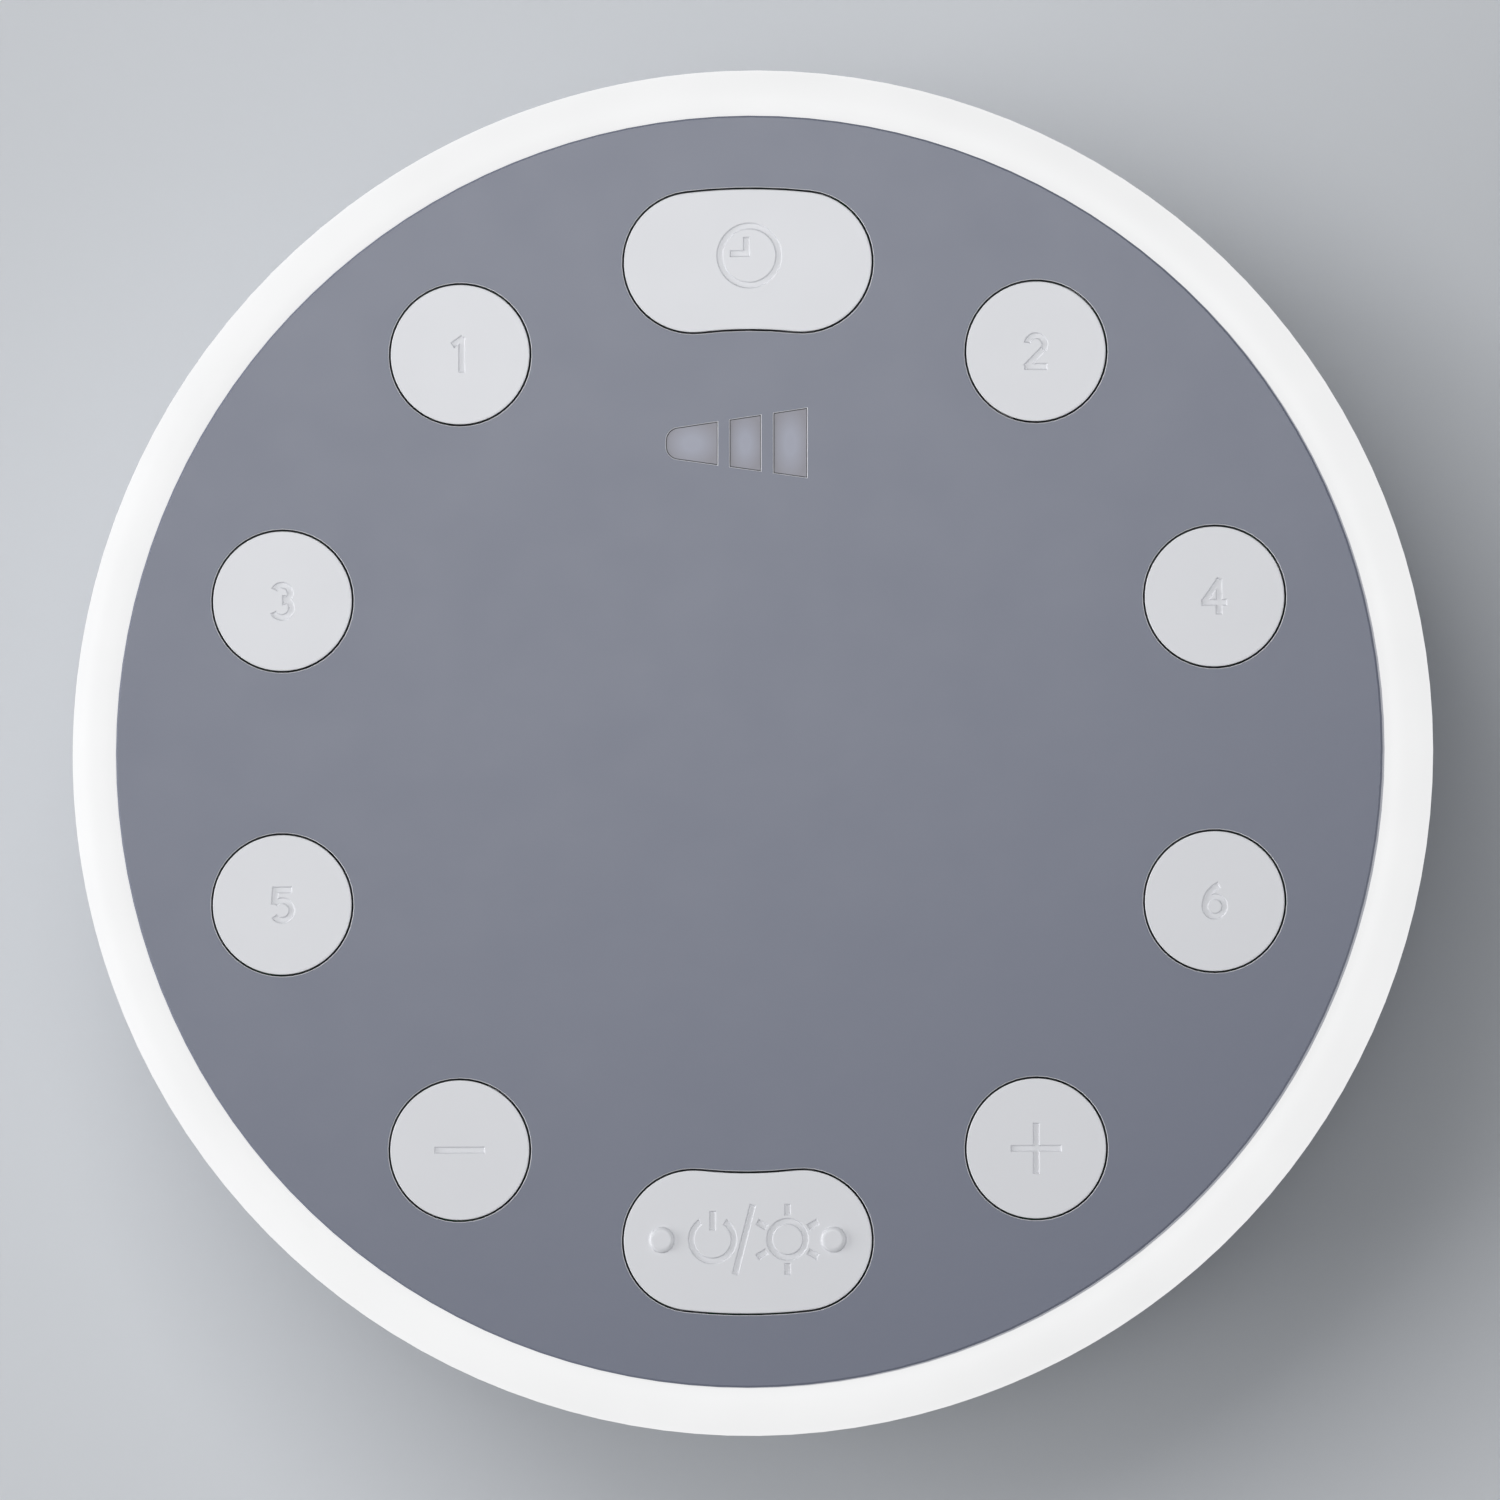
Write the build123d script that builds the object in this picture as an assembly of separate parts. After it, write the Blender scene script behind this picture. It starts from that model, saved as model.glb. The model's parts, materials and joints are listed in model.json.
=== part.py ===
from build123d import *
import os
from math import radians, tan

# White noise sound machine: a low round puck with a glowing rim, ten push buttons on a flat panel
# and a speaker that fires down through the base.
# Millimetres. Z = 0 is the plane the feet stand on, +Z is up, the Z axis is the puck's axis,
# +Y points to the timer button and the power inlet, +X to the right of the panel.

# ------------------------------------------------------------------ case sizes
height = 48.0            # soles of the feet to the face of the panel
ring_r = 57.5            # light ring at its widest
ring_widest_drop = 3.0   # widest line of the ring below the panel's face
ring_seam_drop = 0.45    # ring's inner top edge below the panel's face
ring_foot_inset = 0.9    # ring's foot inside its widest line
ring_foot_w = 1.4        # width of the ring's foot on the housing
ring_depth = 4.6         # ring's foot below the underside of its flange seat on the panel
ring_flange_t = 1.6      # inward flange that the panel clamps
ring_flange_reach = 3.1  # flange under the panel's edge
ring_band_w = 4.0        # ring seen beside the panel
panel_t = 2.2
panel_chamfer = 0.15
hole_chamfer = 0.1       # broken edge of the button holes and windows
panel_rib_w = 1.4        # locating rib under the panel, inside the ring's flange
panel_rib_h = 2.2
seam_gap = 0.15          # running gap between parts that drop into each other

wall = 2.2               # housing wall
housing_step = 0.3       # housing's rim inside the ring's foot
housing_draw = 5.2       # housing's lower edge inside the ring, so the side draws in downwards
housing_foot_z = 8.0
housing_lip_h = 1.4      # lip that centres the ring
base_z = 3.0             # underside of the base above the table
base_t = 2.2
base_round = 3.0         # rounded lower edge
base_inset = 0.2         # base's side inside the housing's
base_seam = 0.4          # shadow line between base and housing
base_lip_w = 1.4
base_lip_h = 2.6

# ------------------------------------------------------------------ controls
control_in = 12.1        # circle through the button centres, inside the panel's edge
control_names = (
    "calm", "relax", "timer", "rain", "forest",
    "ocean", "volume_down", "power_light", "volume_up", "white_noise",
)
control_first = 18.0     # angle of the first button from +X, the rest follow evenly
wide_controls = ("timer", "power_light")
dotted_control = "power_light"
wide_spread = 6.37       # degrees from a wide button's middle to each end's centre
cap_r = 5.85             # round button cap, also half the width of a wide one
cap_gap = 0.15           # gap round each cap
cap_sink = 0.1           # cap's face below the panel's
cap_chamfer = 0.12
press_travel = 0.5
ear_w = 3.0              # retaining ears that catch under the panel
ear_t = 1.0
ear_reach = 0.9
ear_play = 0.1
core_side = 6.4          # cored pocket in the back of a cap
core_roof = 1.5          # what the pocket leaves of the cap's face
stem_side = 3.0          # stem that pushes the switch
dot_r = 1.07             # raised dots that tell the power and light button by touch
dot_h = 0.4
dot_round = 0.38
dot_out = 7.25           # each side of the button's middle
dot_up = 0.3

# ------------------------------------------------------------------ circuit board and its parts
board_edge_gap = 1.0     # board's edge to the housing's wall
board_t = 1.6
board_drop = 7.2         # board's face below the underside of the panel
switch_side = 6.0
switch_h = 3.4
plunger_side = 2.4
plunger_proud = 1.6      # plunger above the switch body
plunger_root = 1.2       # plunger inside the switch body
plunger_gap = 0.06
plunger_spare = 0.15     # well below a fully pressed plunger
ring_led_count = 20
ring_led_in = 1.4        # centre of a ring light inside the board's edge
led_l = 3.5
led_w = 2.6
led_h = 0.8

# ------------------------------------------------------------------ indicator windows
window_in = 15.5         # middle line of the windows inside the button circle
window_slope = 0.1455    # rise of each side of the wedge per millimetre to the right
window_gap = 0.06
window_sink = 0.2        # lens face below the panel's face
window_spans = ((-6.86, -2.60), (-1.48, 1.06), (2.23, 4.96))
window_tip_h = 1.15      # half height of the wedge at its left tip
window_tip_round = 0.9   # rounding of the tip as a share of its half height
lens_plate_t = 0.9
lens_margin = 1.8
light_box_wall = 1.0

# ------------------------------------------------------------------ fasteners and bosses
boss_r = 3.0
boss_clear = 0.5         # board's clearance hole round a long boss
panel_boss_in = 3.9      # circle of the four long bosses inside the ring's flange
panel_boss_angles = (36.0, 144.0, 216.0, 324.0)
panel_boss_len = 11.8
lug_t = 4.0
lug_r = 4.0
web_t = 2.4
board_boss_r = 27.0      # circle of the four short bosses that carry the board
board_boss_angles = (30.0, 150.0, 210.0, 330.0)
case_boss_in = 8.3       # circle of the case screws inside the housing's lower edge
case_boss_angles = (0.0, 90.0, 180.0, 270.0)
case_boss_top = 20.0
case_sump_r = 4.6        # base's pillar round each counterbore
case_sump_h = 3.8
case_sink_r = 3.2
case_sink_depth = 4.0
screw_r = 1.45
screw_head_r = 2.7
screw_head_h = 2.0
screw_len = 9.0
pilot_spare = 0.8        # pilot hole beyond a screw's point
screw_gap = 0.06         # threads drawn as plain shanks in plain holes
small_screw_r = 1.15
small_screw_head_r = 2.3
small_screw_head_h = 1.5
small_screw_len = 5.0
socket_r = 1.2           # driver recess
socket_depth = 0.8

foot_r = 4.6
foot_sink = 1.0
foot_chamfer = 0.5
foot_in = 9.7            # circle of the feet inside the housing's lower edge
foot_angles = (45.0, 135.0, 225.0, 315.0)

# ------------------------------------------------------------------ speaker
grille_rings = 4
grille_first_r = 4.6     # middle of the first ring of slots
grille_pitch = 5.0
grille_slot_w = 2.4
grille_ribs = 6
grille_rib_w = 2.0
cloth_t = 0.4
cloth_gap = 0.8
seat_r = 25.4            # inside of the seat round the speaker
seat_w = 6.6
seat_h = 2.0
gasket_w = 2.2
gasket_t = 1.0
basket_t = 1.0
basket_neck_out = 0.4    # basket's neck outside the seat's bore
basket_neck_h = 3.2
basket_depth = 12.6
basket_back_r = 17.0
basket_windows = 4
basket_window_w = 14.0
speaker_screw_angles = (45.0, 135.0, 225.0, 315.0)
magnet_r = 17.5
magnet_t = 5.6
plate_r = 15.5
plate_t = 2.0
coil_r = 6.6
coil_t = 0.5
coil_gap = 0.35
cone_t = 0.5
surround_w = 3.8
cone_slope_h = 6.2
cone_lift = 1.0          # cone's rim above the surround's flange plane
cone_travel = 1.0        # each way
surround_t = 0.5
surround_gap = 0.15
surround_fold_h = 1.6
cap_dome_h = 2.2

# ------------------------------------------------------------------ power inlet and wiring
jack_w = 9.0
jack_l = 14.0
jack_h = 11.0
jack_axis_drop = 6.5     # below the board
jack_bore_r = 3.15       # takes a 5.5 mm barrel plug
jack_bore_depth = 10.0
jack_pin_r = 1.0
jack_pin_sink = 1.5      # pin's tip inside the mouth
jack_back = 1.0          # jack's face behind the housing's inner wall
inlet_r = 5.5            # hole in the housing that lets the plug's collar in
chip_size = (10.0, 10.0, 1.5)
chip_place = (13.0, -13.0)
amplifier_size = (6.0, 5.0, 1.6)
amplifier_place = (-12.0, -15.0)
capacitor_r = 3.15
capacitor_h = 7.0
capacitor_in = 14.1      # circle of the capacitors inside the board's edge
capacitor_angles = (62.0, 118.0)
plug_size = (5.0, 8.0, 4.0)
plug_place = (-30.0, 10.0)
lead_w = 2.6
lead_t = 1.2
lead_drop = 7.0          # each of the lead's two steps down
lead_bend = 0.45         # bend radius as a share of the shorter run beside it
terminal_size = (1.2, 9.0, 6.0)

# ------------------------------------------------------------------ radii and levels that follow
panel_r = ring_r - ring_band_w
flange_inner_r = panel_r - ring_flange_reach
housing_foot_r = ring_r - housing_draw
control_r = panel_r - control_in
window_y = control_r - window_in
panel_boss_r = flange_inner_r - panel_boss_in
case_boss_r = housing_foot_r - case_boss_in
foot_circle_r = housing_foot_r - foot_in
basket_r = seat_r + seat_w
basket_neck_r = seat_r + basket_neck_out
speaker_screw_circle_r = (basket_neck_r + basket_r) / 2
cone_r = basket_neck_r - basket_t - surround_w
panel_under = height - panel_t
ring_foot_z = panel_under - ring_depth
board_top = panel_under - board_drop
board_under = board_top - board_t
plunger_top = board_top + switch_h + plunger_proud
cap_face = height - cap_sink
cap_back = panel_under - ear_play - ear_t
hole_r = cap_r + cap_gap
lug_top = panel_under - panel_boss_len
base_floor = base_z + base_t
sump_top = base_floor + case_sump_h
seat_top = base_floor + seat_h
flange_z = seat_top + gasket_t
basket_back_z = flange_z + basket_depth
housing_top_r = ring_r - ring_foot_inset - housing_step
ring_inner_r = ring_r - ring_foot_inset - ring_foot_w
side_slope = (housing_top_r - housing_foot_r) / (ring_foot_z - housing_foot_z)
jack_axis_z = board_under - jack_axis_drop


def side_r(z):
    """Radius of the housing's drawn-in side at a height."""
    return housing_foot_r + side_slope * (z - housing_foot_z)


jack_face_y = side_r(board_under - jack_h) - wall - jack_back
board_r = side_r(board_under) - wall - board_edge_gap


def control_angle(name):
    return control_first + 360 / len(control_names) * control_names.index(name)


def at(radius, angle, z=0.0):
    """A place on a circle round the Z axis, with local X pointing outwards."""
    return Rot(0, 0, angle) * Pos(radius, 0, z)


def turned(outline):
    """A closed outline of radius and height, turned round the Z axis."""
    return revolve(Plane.XZ * make_face(outline), Axis.Z)


def post(radius, low, high):
    """A round post on the Z axis between two heights."""
    return Pos(0, 0, low) * Cylinder(radius, high - low, align=(Align.CENTER, Align.CENTER, Align.MIN))


def block(length, width, low, high):
    """A box centred on the Z axis between two heights."""
    return Pos(0, 0, low) * Box(length, width, high - low, align=(Align.CENTER, Align.CENTER, Align.MIN))


def arc_slab(half_width, low, high):
    """The plan of a wide button, bent along the control circle about +X, between two heights."""
    middle = CenterArc((0, 0), control_r, -wide_spread, 2 * wide_spread)
    return Pos(0, 0, low) * extrude(SlotArc(middle, 2 * half_width), high - low)


def write(name, shape):
    export_step(shape, f"parts/{name}.step")


def write_group(name, solids):
    write(name, Compound(children=list(solids)))


# ------------------------------------------------------------------ top of the case
def indicator_windows(gap, low, high):
    """The three wedge windows in a row, drawn in by a gap on every side."""
    left = window_spans[0][0]
    blocks = []
    for start, end in window_spans:
        near, far = start + gap, end - gap
        near_h = window_tip_h + window_slope * (near - left) - gap
        far_h = window_tip_h + window_slope * (far - left) - gap
        outline = Polyline((near, -near_h), (far, -far_h), (far, far_h), (near, near_h), close=True)
        wedge = extrude(make_face(outline), high - low)
        if start == left:
            tips = wedge.edges().filter_by(Axis.Z).sort_by(Axis.X)[:2]
            wedge = fillet(tips, near_h * window_tip_round)
        blocks.append(Pos(0, window_y, low) * wedge)
    return blocks


def top_panel():
    panel = post(panel_r, panel_under, height)
    for name in control_names:
        if name in wide_controls:
            panel -= Rot(0, 0, control_angle(name)) * arc_slab(hole_r, panel_under, height)
        else:
            panel -= at(control_r, control_angle(name)) * post(hole_r, panel_under, height)
    for window in indicator_windows(0, panel_under, height):
        panel -= window
    rim = panel.edges().group_by(Axis.Z)[-1].sort_by(SortBy.LENGTH)[-1]
    panel = chamfer(rim, panel_chamfer)
    hole_edges = panel.edges().group_by(Axis.Z)[-1].sort_by(SortBy.LENGTH)[:-1]
    panel = chamfer(hole_edges, hole_chamfer)
    rib_r = flange_inner_r - seam_gap
    rib = post(rib_r, panel_under - panel_rib_h, panel_under) - post(rib_r - panel_rib_w, 0, height)
    panel += rib
    for angle in panel_boss_angles:
        panel += at(panel_boss_r, angle) * post(boss_r, lug_top, panel_under)
        pilot = post(screw_r + screw_gap, lug_top, lug_top + screw_len + pilot_spare)
        panel -= at(panel_boss_r, angle) * pilot
    for angle in board_boss_angles:
        panel += at(board_boss_r, angle) * post(boss_r, board_top, panel_under)
        pilot = post(small_screw_r + screw_gap, board_top, board_top + small_screw_len + pilot_spare)
        panel -= at(board_boss_r, angle) * pilot
    return panel


def light_ring():
    inner_top = (panel_r + seam_gap, height - ring_seam_drop)
    widest = (ring_r, height - ring_widest_drop)
    foot = (ring_r - ring_foot_inset, ring_foot_z)
    crown = TangentArc(widest, inner_top, tangent=(0, 1))
    flank = TangentArc(widest, foot, tangent=(0, -1))
    inside = Polyline(
        foot,
        (ring_inner_r, ring_foot_z),
        (ring_inner_r, panel_under - ring_flange_t),
        (flange_inner_r, panel_under - ring_flange_t),
        (flange_inner_r, panel_under),
        (panel_r + seam_gap, panel_under),
        inner_top,
    )
    return turned(crown + flank + inside)


def indicator_lens():
    plate_low = panel_under - lens_plate_t
    x_low = window_spans[0][0] - lens_margin
    x_high = window_spans[-1][1] + lens_margin
    plate = Pos((x_low + x_high) / 2, window_y) * block(x_high - x_low, lens_width(), plate_low, panel_under)
    for pad in indicator_windows(window_gap, panel_under, height - window_sink):
        plate += pad
    return plate


def lens_width():
    right_h = window_tip_h + window_slope * (window_spans[-1][1] - window_spans[0][0])
    return 2 * (right_h + lens_margin)


def indicator_light_box():
    """Open frame with a cell behind each window, so one indicator doesn't light the next."""
    low, high = board_top, panel_under - lens_plate_t
    x_low = window_spans[0][0] - lens_margin
    x_high = window_spans[-1][1] + lens_margin
    frame = Pos((x_low + x_high) / 2, window_y) * block(x_high - x_low, lens_width(), low, high)
    ends = [x_low]
    for (_, end), (start, _) in zip(window_spans, window_spans[1:]):
        ends.append((end + start) / 2)
    ends.append(x_high)
    for left, right in zip(ends, ends[1:]):
        cell = block(right - left - light_box_wall, lens_width() - 2 * light_box_wall, low, high)
        frame -= Pos((left + right) / 2, window_y) * cell
    return frame


# ------------------------------------------------------------------ buttons
def cap_stem():
    return block(stem_side, stem_side, plunger_top, cap_face - core_roof)


def round_cap():
    """Round cap about its own axis, with two ears, a cored back and a stem."""
    cap = post(cap_r, cap_back, cap_face)
    cap = chamfer(cap.edges().group_by(Axis.Z)[-1], cap_chamfer)
    cap += block(2 * (cap_r + ear_reach), ear_w, cap_back, cap_back + ear_t)
    cap -= block(core_side, core_side, cap_back, cap_face - core_roof)
    return cap + cap_stem()


def wide_cap():
    """Wide cap bent along the control circle, seen about +X, with four ears and two cored pockets."""
    cap = arc_slab(cap_r, cap_back, cap_face)
    cap = chamfer(cap.edges().group_by(Axis.Z)[-1], cap_chamfer)
    ear = block(2 * (cap_r + ear_reach), ear_w, cap_back, cap_back + ear_t)
    core = block(core_side, core_side, cap_back, cap_face - core_roof)
    for side in (-1, 1):
        cap += at(control_r, side * wide_spread) * ear
        cap -= at(control_r, side * wide_spread) * core
    return cap + Pos(control_r) * cap_stem()


def touch_dots():
    """The two raised dots, about the middle of their button."""
    dot = post(dot_r, cap_face, cap_face + dot_h)
    dot = fillet(dot.edges().group_by(Axis.Z)[-1], dot_round)
    return [Pos(side * dot_out, dot_up) * dot for side in (-1, 1)]


def cap(name):
    if name in wide_controls:
        shape = Rot(0, 0, control_angle(name)) * wide_cap()
    else:
        shape = at(control_r, control_angle(name)) * round_cap()
    if name == dotted_control:
        middle = at(control_r, control_angle(name)).position
        for dot in touch_dots():
            shape += Pos(middle.X, middle.Y) * dot
    return shape


def switch_body():
    """Push switch with a square well for its plunger."""
    body = block(switch_side, switch_side, board_top, board_top + switch_h)
    well_side = plunger_side + 2 * plunger_gap
    well_floor = board_top + switch_h - plunger_root - press_travel - plunger_spare
    return body - block(well_side, well_side, well_floor, board_top + switch_h)


def switch_plunger():
    return block(plunger_side, plunger_side, plunger_top - plunger_proud - plunger_root, plunger_top)


# ------------------------------------------------------------------ circuit board
def main_board():
    board = post(board_r, board_under, board_top)
    for angle in panel_boss_angles:
        board -= at(panel_boss_r, angle) * post(boss_r + boss_clear, board_under, board_top)
    for angle in board_boss_angles:
        board -= at(board_boss_r, angle) * post(small_screw_r + seam_gap, board_under, board_top)
    return board


def ring_leds():
    led = block(led_w, led_l, board_top, board_top + led_h)
    step = 360 / ring_led_count
    return [at(board_r - ring_led_in, step * (i + 0.5)) * led for i in range(ring_led_count)]


def indicator_leds():
    led = block(led_w / 2, led_l, board_top, board_top + led_h)
    return [Pos((start + end) / 2, window_y) * led for start, end in window_spans]


def under_board(size, place):
    length, width, depth = size
    return Pos(*place) * block(length, width, board_under - depth, board_under)


def capacitors():
    can = post(capacitor_r, board_under - capacitor_h, board_under)
    return [at(board_r - capacitor_in, angle) * can for angle in capacitor_angles]


def power_jack():
    front_top = (Align.CENTER, Align.MAX, Align.MAX)
    body = Pos(0, jack_face_y, board_under) * Box(jack_w, jack_l, jack_h, align=front_top)
    return body - bore_along_y(jack_bore_r, jack_face_y - jack_bore_depth, jack_face_y)


def bore_along_y(radius, near, far):
    """A round bar on the inlet's axis between two Y positions."""
    bar = Cylinder(radius, far - near, align=(Align.CENTER, Align.CENTER, Align.MIN))
    return Pos(0, near, jack_axis_z) * Rot(-90, 0, 0) * bar


def jack_pin():
    return bore_along_y(jack_pin_r, jack_face_y - jack_bore_depth, jack_face_y - jack_pin_sink)


# ------------------------------------------------------------------ housing and base
def housing():
    rim_inner = housing_top_r - wall
    lip_r = ring_inner_r - seam_gap
    outline = Polyline(
        (housing_foot_r, housing_foot_z),
        (housing_top_r, ring_foot_z),
        (lip_r, ring_foot_z),
        (lip_r, ring_foot_z + housing_lip_h),
        (rim_inner, ring_foot_z + housing_lip_h),
        (rim_inner, ring_foot_z),
        (housing_foot_r - wall, housing_foot_z),
        close=True,
    )
    shell = turned(outline)
    for angle in panel_boss_angles:
        low = lug_top - lug_t
        reach = side_r(low) - wall / 2 - panel_boss_r
        web = Pos(reach / 2) * block(reach, web_t, low - lug_t, lug_top)
        lug = post(lug_r, low, lug_top) + web
        lug -= post(lug_r, low - lug_t, low)
        shell += at(panel_boss_r, angle) * lug
        shell -= at(panel_boss_r, angle) * post(screw_r + seam_gap, low, lug_top)
    for angle in case_boss_angles:
        web_low = housing_foot_z + base_lip_h + base_seam
        reach = side_r(web_low) - wall / 2 - case_boss_r
        web = Pos(reach / 2) * block(reach, web_t, web_low, case_boss_top)
        boss = post(boss_r + seam_gap, sump_top, case_boss_top) + web
        shell += at(case_boss_r, angle) * boss
        pilot = post(screw_r + screw_gap, sump_top, base_z + case_sink_depth + screw_len + pilot_spare)
        shell -= at(case_boss_r, angle) * pilot
    return shell - bore_along_y(inlet_r, jack_face_y, ring_r)


def grille_slots():
    """Rings of slots, crossed by radial ribs that stay."""
    slots = None
    for i in range(grille_rings):
        middle = grille_first_r + i * grille_pitch
        ring = post(middle + grille_slot_w / 2, base_z, base_floor)
        ring -= post(middle - grille_slot_w / 2, base_z, base_floor)
        slots = ring if slots is None else slots + ring
    reach = grille_first_r + grille_rings * grille_pitch
    for i in range(grille_ribs):
        rib = Pos(reach / 2) * block(reach, grille_rib_w, base_z, base_floor)
        slots -= Rot(0, 0, 360 / grille_ribs * i) * rib
    return slots


def base_cover():
    side_top_z = housing_foot_z - base_seam
    side_top_r = side_r(side_top_z) - base_inset
    side_low_r = side_r(base_z + base_round) - base_inset
    lip_outer = housing_foot_r - wall - seam_gap
    lip_inner = lip_outer - base_lip_w
    lip_top = housing_foot_z + base_lip_h
    edge = TangentArc((side_low_r, base_z + base_round), (side_low_r - base_round, base_z), tangent=(0, -1))
    rest = Polyline(
        (side_low_r - base_round, base_z),
        (0, base_z),
        (0, base_floor),
        (seat_r, base_floor),
        (seat_r, seat_top),
        (seat_r + seat_w, seat_top),
        (seat_r + seat_w, base_floor),
        (lip_inner, base_floor),
        (lip_inner, lip_top),
        (lip_outer, lip_top),
        (lip_outer, side_top_z),
        (side_top_r, side_top_z),
        (side_low_r, base_z + base_round),
    )
    cover = turned(edge + rest)
    for angle in case_boss_angles:
        cover += at(case_boss_r, angle) * post(case_sump_r, base_floor, sump_top)
        cover -= at(case_boss_r, angle) * post(case_sink_r, base_z, base_z + case_sink_depth)
        cover -= at(case_boss_r, angle) * post(screw_r + seam_gap, base_z, sump_top)
    for angle in foot_angles:
        cover -= at(foot_circle_r, angle) * post(foot_r + seam_gap, base_z, base_z + foot_sink)
    for angle in speaker_screw_angles:
        pilot = post(small_screw_r + screw_gap, speaker_screw_tip(), seat_top)
        cover -= at(speaker_screw_circle_r, angle) * pilot
    return cover - grille_slots()


def rubber_foot():
    foot = post(foot_r, 0, base_z + foot_sink)
    return chamfer(foot.edges().group_by(Axis.Z)[0], foot_chamfer)


def screw(shank_r, head_r, head_h, length):
    """Pan-head screw with its seat at Z = 0, head above and point below."""
    body = post(shank_r, -length, 0) + post(head_r, 0, head_h)
    return body - block(2 * socket_r, 2 * socket_r, head_h - socket_depth, head_h)


def case_screws():
    one = Rot(180, 0, 0) * screw(screw_r, screw_head_r, screw_head_h, screw_len)
    return [at(case_boss_r, angle, base_z + case_sink_depth) * one for angle in case_boss_angles]


def panel_screws():
    one = Rot(180, 0, 0) * screw(screw_r, screw_head_r, screw_head_h, screw_len + lug_t)
    return [at(panel_boss_r, angle, lug_top - lug_t) * one for angle in panel_boss_angles]


def board_screws():
    one = screw(small_screw_r, small_screw_head_r, small_screw_head_h, small_screw_len + board_t)
    return [at(board_boss_r, angle, board_under) * Rot(180, 0, 0) * one for angle in board_boss_angles]


def speaker_screw_tip():
    return flange_z + basket_t - small_screw_len


def speaker_screws():
    one = screw(small_screw_r, small_screw_head_r, small_screw_head_h, small_screw_len)
    return [at(speaker_screw_circle_r, angle, flange_z + basket_t) * one for angle in speaker_screw_angles]


# ------------------------------------------------------------------ speaker
def grille_cloth():
    return post(seat_r - cloth_gap, base_floor, base_floor + cloth_t)


def speaker_gasket():
    return post(seat_r + gasket_w, seat_top, flange_z) - post(seat_r, seat_top, flange_z)


def speaker_basket():
    neck_top = flange_z + basket_neck_h
    outline = Polyline(
        (basket_neck_r - basket_t, flange_z),
        (basket_r, flange_z),
        (basket_r, flange_z + basket_t),
        (basket_neck_r, flange_z + basket_t),
        (basket_neck_r, neck_top),
        (basket_back_r, basket_back_z),
        (coil_r + coil_gap + coil_t, basket_back_z),
        (coil_r + coil_gap + coil_t, basket_back_z - basket_t),
        (basket_back_r - basket_t, basket_back_z - basket_t),
        (basket_neck_r - basket_t, neck_top),
        close=True,
    )
    basket = turned(outline)
    for angle in speaker_screw_angles:
        hole = post(small_screw_r + seam_gap, flange_z, flange_z + basket_t)
        basket -= at(speaker_screw_circle_r, angle) * hole
    window_low, window_high = neck_top + basket_t, basket_back_z - 2 * basket_t
    for i in range(basket_windows):
        window = Pos(basket_neck_r) * block(2 * basket_back_r, basket_window_w, window_low, window_high)
        basket -= Rot(0, 0, 360 / basket_windows * i) * window
    return basket


def magnet_hole():
    return coil_r + coil_t + coil_gap


def front_plate():
    low = basket_back_z
    return post(plate_r, low, low + plate_t) - post(magnet_hole(), low, low + plate_t)


def speaker_magnet():
    low = basket_back_z + plate_t
    return post(magnet_r, low, low + magnet_t) - post(magnet_hole() + plate_t, low, low + magnet_t)


def magnet_yoke():
    """Back plate with the pole that stands in the voice coil."""
    low = basket_back_z + plate_t + magnet_t
    return post(plate_r, low, low + plate_t) + post(coil_r - coil_gap, basket_back_z, low)


def cone_rim_z():
    return flange_z + cone_lift


def speaker_cone():
    """Shallow paper cone, open downwards, with the neck that the voice coil is wound on."""
    rim, neck = cone_rim_z(), cone_rim_z() + cone_slope_h
    outline = Polyline(
        (cone_r, rim),
        (cone_r, rim + cone_t),
        (coil_r + coil_t, neck + cone_t),
        (coil_r, neck + cone_t),
        (coil_r, neck),
        (cone_r - cone_t, rim),
        close=True,
    )
    return turned(outline)


def voice_coil():
    low = cone_rim_z() + cone_slope_h + cone_t
    high = basket_back_z + plate_t + cone_travel
    return post(coil_r + coil_t, low, high) - post(coil_r, low, high)


def dust_cap():
    """Bevelled cap over the cone's neck."""
    rim = cone_rim_z() + cone_slope_h
    face = rim - cap_dome_h
    outline = Polyline(
        (0, face),
        (coil_r / 2, face),
        (coil_r, rim),
        (coil_r, rim + cone_t),
        (coil_r / 2, face + cone_t),
        (0, face + cone_t),
        close=True,
    )
    return turned(outline)


def speaker_surround():
    """Folded rubber edge between the cone's rim and the basket's neck."""
    inner = cone_r + surround_gap
    neck = basket_neck_r - basket_t
    rim = cone_rim_z()
    middle = (inner + neck) / 2
    fold = rim - surround_fold_h
    outline = Polyline(
        (inner, rim),
        (middle, fold),
        (neck, rim),
        (neck, rim + surround_t),
        (middle, fold + surround_t),
        (inner, rim + surround_t),
        close=True,
    )
    return turned(outline)


def speaker_terminals():
    thickness, width, tall = terminal_size
    foot = flange_z + basket_t
    return Pos(-speaker_screw_circle_r) * block(thickness, width, foot, foot + tall)


def lead_room_r():
    """Inside of the case boss that the lead passes on its way down."""
    return case_boss_r - boss_r - seam_gap


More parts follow.
